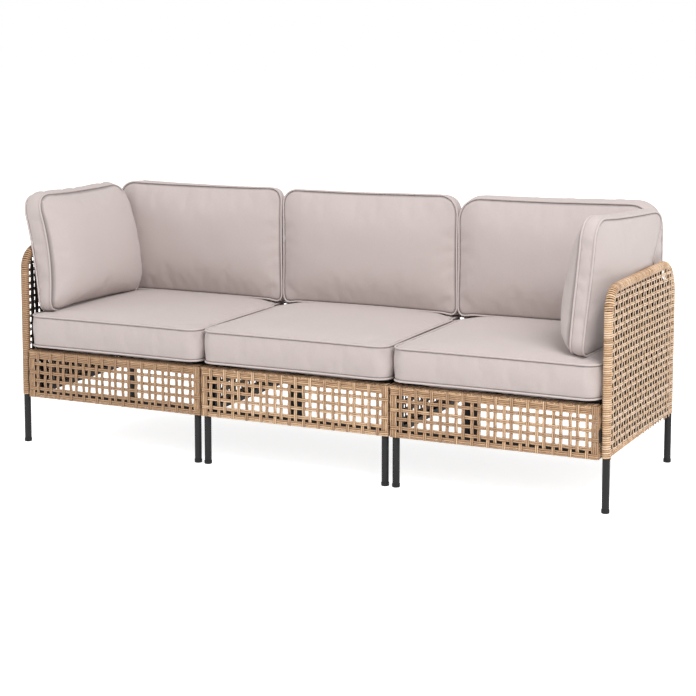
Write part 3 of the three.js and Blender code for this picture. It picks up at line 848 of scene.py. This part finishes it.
def lathe(name, profile, centre, segments, material):
    points, faces = [], []
    for i in range(segments):
        turn = 2 * pi * i / segments
        for radius, z in profile:
            points.append((
                (centre.x + radius * cos(turn)) * mm, (centre.y + radius * sin(turn)) * mm, z * mm))
    rows = len(profile)
    for i in range(segments):
        j = (i + 1) % segments
        for k in range(rows - 1):
            faces.append((i * rows + k, j * rows + k, j * rows + k + 1, i * rows + k + 1))
    faces.append(tuple(reversed([i * rows for i in range(segments)])))
    faces.append(tuple(i * rows + rows - 1 for i in range(segments)))
    mesh = newMesh(name, points, faces)
    mesh.materials.append(material)
    for polygon in mesh.polygons:
        polygon.use_smooth = len(polygon.vertices) == 4
    return addObject(name, mesh)


def makeFoot(node):
    low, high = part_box(node)
    radius, height, rounding, steps = (footCap[key] for key in ("radius", "height", "rounding", "roundingSteps"))
    sole = radius - rounding
    profile = [(sole - footCap["soleInset"], 0), (sole, 0)]
    for i in range(1, steps + 1):
        turn = pi / 2 * i / steps
        profile.append((sole + rounding * sin(turn), rounding - rounding * cos(turn)))
    profile += [(radius - inset, height - drop) for inset, drop in footCap["topEdge"]]
    piece = lathe(node + "_cap", profile, (low + high) / 2 / mm, footCap["segments"], footPlastic)
    settle(piece, node)


def makeLeg(node):
    low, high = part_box(node)
    centre = (low + high) / 2 / mm
    path = straightPath((centre.x, centre.y, low.z / mm), (centre.x, centre.y, high.z / mm), 80)
    makeTube(node + "_tube", node, path, hoop["tubeRadius"])


for node in sorted(frame["nodes"]):
    if "_foot_" in node:
        makeFoot(node)
    elif "_front_leg_" in node:
        makeLeg(node)
print("legs and feet made")

# Cushions: one form for each kind, puffed up by cloth, then copied, varied and piped. The crown is the form's upper
# face and the belly its lower one; "start" and "full" hold the share of their height and the roundness of each.

cushionKinds = {
    "seat": {
        "size": (640, 642), "boxing": 98, "crown": 22, "belly": 22, "corner": 46, "lowCorner": 46, "swell": 4,
        "drawIn": 6, "fill": 0.85, "cap": 9, "start": (0.7, 1.15), "flatBelly": 21.8, "full": (0.75, 0.6)},
    "back": {
        "size": (636, 374), "boxing": 52, "crown": 46, "belly": 40, "corner": 58, "lowCorner": 30, "swell": 4,
        "drawIn": 3, "fill": 0.8, "cap": 12, "start": (0.75, 0.7), "flatBelly": 60, "full": (0.7, 0.7)},
    "side": {
        "size": (386, 480), "boxing": 52, "crown": 28, "belly": 50, "corner": 64, "lowCorner": 42, "swell": 4,
        "drawIn": 6, "fill": 0.75, "cap": 14, "start": (0.7, 0.95), "flatBelly": 90, "full": (0.6, 0.42)},
}
clothFrames = 20
clothSettings = {
    "quality": 4, "mass": 0.25, "tension_stiffness": 18, "compression_stiffness": 18, "shear_stiffness": 18,
    "bending_stiffness": 0.6, "use_pressure": True, "uniform_pressure_force": 4, "shrink_min": -0.012,
    "vertex_group_mass": "seams"}
cushionGrid = {"edge": 6.5, "step": 13, "boxingRows": 8, "seamRow": 0.055}
piping = {"radius": 3.0, "proud": 1.4, "sides": 8, "groove": 1.8, "tilt": 0.55}


def gridLine(half):
    edge, step = cushionGrid["edge"], cushionGrid["step"]
    inner = half - edge
    count = 2 * round(inner / step)
    return [-half] + [-inner + 2 * inner * i / count for i in range(count + 1)] + [half]


def outwardAt(points, loop, k):
    # the tangent of a seam at its point k, turned outwards
    before, after = Vector(points[loop[k - 1]]), Vector(points[loop[(k + 1) % len(loop)]])
    tangent = (after - before).normalized()
    return Vector((tangent.y, -tangent.x, 0))


def cushionForm(kind):
    look = cushionKinds[kind]
    halfX, halfY, half = look["size"][0] / 2, look["size"][1] / 2, look["boxing"] / 2
    xs, ys = gridLine(halfX), gridLine(halfY)
    columns, rows = len(xs), len(ys)

    def inPlan(x, y):
        # round the corners, the lower ones less, then draw the sides in between them
        isLow = y < 0 if kind == "back" else x > 0
        corner = look["lowCorner"] if isLow else look["corner"]
        dx, dy = abs(x) - (halfX - corner), abs(y) - (halfY - corner)
        if dx > 0 and dy > 0:
            scale = max(dx, dy) / hypot(dx, dy)
            x = copysign(halfX - corner + dx * scale, x)
            y = copysign(halfY - corner + dy * scale, y)
        return x, y

    def drawnIn(x, y):
        px, py = inPlan(x, y)
        pull = look["drawIn"]
        px -= pull * (px / halfX) ** 3 * (1 - (y / halfY) ** 2)
        return px, py - pull * (py / halfY) ** 3 * (1 - (x / halfX) ** 2)

    def at(layer, i, j):
        return layer * columns * rows + j * columns + i

    points, faces, chart = [], [], []
    for layer, (level, height) in enumerate(((1, look["crown"]), (-1, look["belly"]))):
        height *= look["start"][layer]
        for y in ys:
            for x in xs:
                rise = ((1 - abs(x / halfX) ** 3) * (1 - abs(y / halfY) ** 3)) ** look["full"][layer]
                points.append((*drawnIn(x, y), level * (half + height * rise)))
    for layer in (0, 1):
        for j in range(rows - 1):
            for i in range(columns - 1):
                corners = [(i, j), (i + 1, j), (i + 1, j + 1), (i, j + 1)]
                if layer:
                    corners.reverse()
                faces.append([at(layer, *corner) for corner in corners])
                chart.append([(xs[a], ys[b]) for a, b in corners])
    around = [(i, 0) for i in range(columns)] + [(columns - 1, j) for j in range(1, rows)]
    around += [(i, rows - 1) for i in range(columns - 2, -1, -1)] + [(0, j) for j in range(rows - 2, 0, -1)]
    topLoop, bottomLoop = ([at(layer, i, j) for i, j in around] for layer in (0, 1))
    count = len(around)
    seamRow, spread = cushionGrid["seamRow"], cushionGrid["boxingRows"] - 2
    edges = [0.0] + [seamRow + (1 - 2 * seamRow) * k / spread for k in range(spread + 1)] + [1.0]
    loops = [bottomLoop]
    for share in edges[1:-1]:
        start = len(points)
        swell = look["swell"] * 4 * share * (1 - share)
        for k in range(count):
            a, b = Vector(points[bottomLoop[k]]), Vector(points[topLoop[k]])
            points.append(tuple(a.lerp(b, share) + outwardAt(points, topLoop, k) * swell))
        loops.append(list(range(start, start + count)))
    loops.append(topLoop)
    lengths = [0.0]
    for k in range(count):
        lengths.append(lengths[-1] + (Vector(points[topLoop[(k + 1) % count]]) - Vector(points[topLoop[k]])).length)
    for ring in range(len(loops) - 1):
        z0, z1 = edges[ring] * look["boxing"], edges[ring + 1] * look["boxing"]
        for k in range(count):
            n = (k + 1) % count
            faces.append([loops[ring][k], loops[ring][n], loops[ring + 1][n], loops[ring + 1][k]])
            chart.append([(lengths[k], z0), (lengths[k + 1], z0), (lengths[k + 1], z1), (lengths[k], z1)])
    chart = [[(u * mm, v * mm) for u, v in spots] for spots in chart]
    return {"points": np.array(points) * mm, "faces": faces, "chart": chart, "seams": (bottomLoop, topLoop)}


def clothMesh(name, points, faces, chart):
    mesh = newMesh(name, points, faces)
    flat = [value for spots in chart for spot in spots for value in spot]
    mesh.uv_layers.new(name="cloth").data.foreach_set("uv", flat)
    mesh.shade_smooth()
    return mesh


def puffUp(forms):
    # all kinds are simulated side by side, with the seams held
    holders = {}
    for kind, form in forms.items():
        name = f"puffing_{kind}"
        piece = addObject(name, clothMesh(name, form["points"], form["faces"], form["chart"]))
        held = piece.vertex_groups.new(name="seams")
        held.add([index for seam in form["seams"] for index in seam], 1.0, "REPLACE")
        cloth = piece.modifiers.new("Cloth", "CLOTH")
        for setting, value in clothSettings.items():
            setattr(cloth.settings, setting, value)
        cloth.settings.effector_weights.gravity = 0
        cloth.collision_settings.use_collision = False
        holders[kind] = piece
    scene = bpy.context.scene
    for number in range(1, clothFrames + 1):
        scene.frame_set(number)
    graph = bpy.context.evaluated_depsgraph_get()
    for kind, piece in holders.items():
        shown = piece.evaluated_get(graph)
        moved = np.empty(len(shown.data.vertices) * 3)
        shown.data.vertices.foreach_get("co", moved)
        start = forms[kind]["points"]
        drift = moved.reshape(-1, 3) - start
        length = np.linalg.norm(drift, axis=1)
        cap = cushionKinds[kind]["cap"] * mm
        limited = cap * np.tanh(length / cap)
        print(kind, "cloth moved up to", round(float(length.max()) / mm, 1), "mm")
        forms[kind]["points"] = start + drift * (limited / np.maximum(length, 1e-9))[:, None]
    scene.frame_set(1)
    for piece in holders.values():
        bpy.data.objects.remove(piece)


forms = {kind: cushionForm(kind) for kind in cushionKinds}
puffUp(forms)
print("cushion forms ready")


def closedTube(name, loops, radius, tubeSides, material):
    points, faces, chart = [], [], []
    girth = 2 * pi * radius / tubeSides
    for loop in loops:
        start, count, run = len(points), len(loop), 0.0
        for k, (point, outward) in enumerate(loop):
            tangent = (loop[(k + 1) % count][0] - loop[k - 1][0]).normalized()
            side = outward - tangent * outward.dot(tangent)
            side.normalize()
            up = tangent.cross(side)
            for i in range(tubeSides):
                turn = 2 * pi * i / tubeSides
                points.append(tuple(point + side * (radius * cos(turn)) + up * (radius * sin(turn))))
        for k in range(count):
            n = (k + 1) % count
            end = run + (loop[n][0] - loop[k][0]).length
            here, there = start + k * tubeSides, start + n * tubeSides
            for i in range(tubeSides):
                j = (i + 1) % tubeSides
                low, high = i * girth, (i + 1) * girth
                faces.append((here + i, there + i, there + j, here + j))
                chart.append(((run, low), (end, low), (end, high), (run, high)))
            run = end
    mesh = clothMesh(name, points, faces, chart)
    mesh.materials.append(material)
    return addObject(name, mesh)


# How hand-filled cushions differ from their form. A seat cushion is narrower behind the back cushions, so that it
# lifts out past its neighbours.

seatTaper = {"from": 172, "length": 34, "inward": 11}

# A back cushion is shifted, has corners of its own (upper left and right), rises along its front and rear top edge
# and is narrower or deeper at the rear. Its lower corners sag where two cushions meet.

backLift = 3
backSet = {
    "left": {
        "shift": 7, "wide": 1.010, "corners": (62, 40), "rise": (5, 7), "rear": (0, -8), "narrow": 18,
        "topShare": 0.95, "crest": (0, 0), "deep": 0},
    "middle": {
        "shift": 1, "wide": 0.996, "corners": (52, 60), "rise": (4, 11), "rear": (-7, -7), "narrow": 12,
        "topShare": 0.4, "crest": (0, 0), "deep": 0},
    "right": {
        "shift": -4, "wide": 1.024, "corners": (76, 80), "rise": (5, 12), "rear": (3, 4), "narrow": 0,
        "topShare": 0, "crest": (3, 6), "deep": 30},
}
cornerBox, lowRearCorner = 100, 10
cornerSag = {"borders": (325, 975), "reach": 60, "depth": 12.5, "seat": 438.5}

# A side cushion leans and turns, bows over the arm rail, is thicker or thinner, stands higher or lower at its front
# and rear, and keeps clear of its arm panel and rail.

sideSet = {
    "left": {
        "lean": 7, "turn": -2.5, "middle": (-929.5, -62, 627), "thick": (1.19, 0.29), "bow": (22, 20), "rise": (0, 0),
        "drop": 0, "crest": 9, "rear": (36, 6), "bellyScale": 1.1, "sag": 0.25, "flare": 0},
    "right": {
        "lean": 6, "turn": 5.0, "middle": (937.5, -62, 636), "thick": (0.81, 0.06), "bow": (0, 5), "rise": (13, -8),
        "drop": 5, "crest": 4, "rear": (0, 0), "bellyScale": 1.27, "sag": 0.3, "flare": 22},
}
armClearance = {"radius": 15.5, "panel": 980.6}


def seatLaid(module, look, place, point):
    spot = place @ point
    behind = clamp((spot.y / mm - seatTaper["from"]) / seatTaper["length"])
    halfX = look["size"][0] / 2 * mm
    spot.x -= (point.x / halfX) ** 3 * behind * behind * (3 - 2 * behind) * seatTaper["inward"] * mm
    return spot


def cornerReach(radius, turn):
    # how far a rounded corner reaches, seen from the inner point of the square it fills
    box = cornerBox
    across, up = cos(turn), sin(turn)
    rest = box - radius
    if up * box <= rest * across:
        return box / across
    if across * box <= rest * up:
        return box / up
    middle = rest * (across + up)
    return middle + sqrt(max(middle * middle - 2 * rest * rest + radius * radius, 0))


def backLaid(module, look, place, point):
    rest = backSet[module]
    halfX, halfY, half = look["size"][0] / 2, look["size"][1] / 2, look["boxing"] / 2
    x, y, z = point.x / mm, point.y / mm, point.z / mm
    inside = clamp((half - z) / (2 * half))
    dx, dy = abs(x) - (halfX - cornerBox), abs(y) - (halfY - cornerBox)
    if dx > 0 and dy > 0:
        base = look["corner"] if y > 0 else look["lowCorner"]
        wanted = rest["corners"][0 if x < 0 else 1] if y > 0 else base + (lowRearCorner - base) * inside
        turn = atan2(dy, dx)
        before = cornerReach(base, turn)
        weight = clamp((hypot(dx, dy) / before - 0.4) / 0.6)
        scale = 1 + (cornerReach(wanted, turn) / before - 1) * weight
        x = copysign(halfX - cornerBox + dx * scale, x)
        y = copysign(halfY - cornerBox + dy * scale, y)
    across, up = clamp((x / halfX + 1) / 2), clamp((y / halfY + 1) / 2)
    rise = between(rest["rise"], across) + inside * between(rest["rear"], across)
    crest = between(rest["crest"], across)
    y += rise * up ** 2 + crest * 4 * inside * (1 - inside) * clamp((up - 0.8) / 0.2)
    y -= cornerSag["depth"] * max(1 - (halfX - abs(x)) / cornerSag["reach"], 0) ** 2 * (1 - up) ** 6
    x -= rest["narrow"] * (1 + (rest["topShare"] - 1) * up ** 4) * min(up / 0.3, 1) * inside * (x / halfX) ** 3
    belly = max(-z - half, 0)
    z -= inside * rest["deep"] * across ** 2 - belly * across ** 2 * min(rest["deep"] / 34, 1)
    return place @ (Vector((x * rest["wide"] + rest["shift"], y, z)) * mm)


def aboveSeat(spot):
    near = min(abs(abs(spot.x) / mm - border) for border in cornerSag["borders"])
    sag = cornerSag["depth"] * max(1 - near / cornerSag["reach"], 0) ** 2
    spot.z = max(spot.z, (cornerSag["seat"] - sag) * mm)
    return spot


def sideLaid(module, look, place, point):
    rest = sideSet[module]
    halfX, halfY, half = look["size"][0] / 2 * mm, look["size"][1] / 2, look["boxing"] / 2 * mm
    share = -point.x / halfX
    if point.z < -half:
        scale = rest["bellyScale"] * (1 - rest["sag"] * clamp(share, -1))
    else:
        scale = rest["thick"][0] - rest["thick"][1] * (share - 0.3) ** 2
    spot = place @ Vector((point.x, point.y, -half + (point.z + half) * scale))
    along = clamp((spot.y / mm - rest["middle"][1]) / halfY, -1)
    up, down, deep = max(share, 0), max(-share, 0), point.z / half
    crest = max(1 - deep * deep, 0) * clamp((share - 0.6) / 0.4)
    spot.z += (up * between(rest["rise"], (along + 1) / 2) - down * rest["drop"] + crest * rest["crest"]) * mm
    bow = rest["bow"][0] if share > 0 else rest["bow"][1]
    behind = max(along, 0) ** 2
    spot.x += copysign(bow * share * share, spot.x) * mm
    spot.x += copysign(rest["flare"] * up * behind * mm, spot.x)
    spot.y += (rest["rear"][0] * (1 - up) + rest["rear"][1] * up) * behind * mm
    return spot


def clearOfArm(spot):
    side = copysign(1, spot.x)
    x, z = abs(spot.x) / mm, spot.z / mm
    railX, railZ, radius = plan["arm"], hoop["railHeight"], armClearance["radius"]
    if z < railZ:
        x = min(x, armClearance["panel"])
    else:
        away = hypot(x - railX, z - railZ)
        if away < radius:
            x = railX + (x - railX) * radius / max(away, 0.1)
            z = railZ + (z - railZ) * radius / max(away, 0.1)
    return Vector((side * x * mm, spot.y, z * mm))


laidOut = {"seat": seatLaid, "back": backLaid, "side": sideLaid}
settled = {"back": aboveSeat, "side": clearOfArm}
unevenness = [(5.5, 2.2), (17, 0.7)]   # noise scale per metre, and height
boxingShare = 0.5   # of that height on the boxing
seamPull = {"reach": 26, "least": 0.12}   # how far puckers run in from a seam, and what is left beyond


def makeCushion(module, kind, place, seed):
    node = f"{module}_{kind}_cushion"
    look, form = cushionKinds[kind], forms[kind]
    points = form["points"].copy()
    drift = Vector((seed * 7.3, seed * 1.9, 0))
    half = look["boxing"] / 2 * mm
    lowest = -(look["boxing"] / 2 + look["flatBelly"]) * mm
    for k, point in enumerate(points):
        spot = Vector(point)
        wave = sum(noise.noise(spot * scale + drift) * height for scale, height in unevenness)
        if abs(spot.z) > half * 1.02:
            points[k][2] += copysign(wave * mm, spot.z)
        else:
            outward = Vector((spot.x, spot.y, 0)).normalized()
            points[k][0] += outward.x * wave * boxingShare * mm
            points[k][1] += outward.y * wave * boxingShare * mm
        # flat where a seat cushion rests on its deck
        points[k][2] = max(points[k][2], lowest)
    seams = []
    for seam in form["seams"]:
        loop = []
        for k, index in enumerate(seam):
            tilt = copysign(piping["tilt"], points[index][2])
            aim = (outwardAt(points, seam, k) + Vector((0, 0, tilt))).normalized()
            loop.append((Vector(points[index]) + aim * piping["proud"] * mm, aim))
            points[index] -= np.array(aim) * piping["groove"] * mm
        seams.append(loop)

    def laid(point):
        return laidOut[kind](module, look, place, point)

    placed = [laid(Vector(point)) for point in points]
    if kind in settled:
        placed = [settled[kind](spot) for spot in placed]
    mesh = clothMesh(node + "_cover", placed, form["faces"], form["chart"])
    # marks the seam points; the fabric material paints shade beside them
    onSeam = np.zeros(len(points), dtype=np.float32)
    onSeam[[index for seam in form["seams"] for index in seam]] = 1
    fromSeam = np.abs(np.abs(form["points"][:, 2]) - half)
    drawn = np.clip(1 - fromSeam / (seamPull["reach"] * mm), seamPull["least"], 1).astype(np.float32)
    mesh.attributes.new("seamShadeMask", "FLOAT", "POINT").data.foreach_set("value", onSeam)
    mesh.attributes.new("pull", "FLOAT", "POINT").data.foreach_set("value", drawn)
    mesh.materials.append(fabric)
    piece = addObject(node + "_cover", mesh)
    smooth = piece.modifiers.new("smoothing", "SUBSURF")
    smooth.levels = smooth.render_levels = 1
    settle(piece, node)
    turn = place.to_3x3()
    loops = [[(laid(point), (turn @ aim).normalized()) for point, aim in loop] for loop in seams]
    tube = closedTube(node + "_piping", loops, piping["radius"] * mm, piping["sides"], litPipingFabric)
    settle(tube, node, replaces=False)


def cushionPlace(module, kind):
    look = cushionKinds[kind]
    if kind == "side":
        rest, side = sideSet[module], sides[module]
        lean = Matrix.Rotation(side * (pi / 2 + radians(rest["lean"])), 4, "Y")
        turned = Matrix.Rotation(-side * radians(rest["turn"]), 4, "Z")
        # the form's +x end is the lower one on both sides
        upright = Matrix.Rotation(pi if side < 0 else 0, 4, "Z")
        return Matrix.Translation(Vector(rest["middle"]) * mm) @ turned @ lean @ upright
    turn = Matrix.Rotation(pi / 2 if kind == "back" else 0, 3, "X")
    corners = frame["nodes"][f"{module}_{kind}_cushion"].data.vertices
    middle = Vector((0, 0, 0))
    for i in range(3):
        axis = turn.col[i]
        reach = [corner.co.dot(axis) for corner in corners]
        centre = (min(reach) + max(reach)) / 2
        if i == 2:
            centre -= (look["crown"] - look["belly"]) / 2 * mm
        middle += axis * centre
    if kind == "back":
        middle.z += backLift * mm
    return Matrix.Translation(middle) @ turn.to_4x4()


cushions = [(module, kind) for module in modules for kind in ("seat", "back")] + [(label, "side") for label in sides]
for seed, (module, kind) in enumerate(cushions, 101):
    makeCushion(module, kind, cushionPlace(module, kind), seed)
print("cushions covered and piped")

# CAD pieces that stay, with their finish

for node, piece in frame["nodes"].items():
    if any(part in node for part in ("_seat_frame", "_seat_slats", "_rear_tie", "_arm_bracket")):
        piece.data.materials.clear()
        piece.data.materials.append(steel)
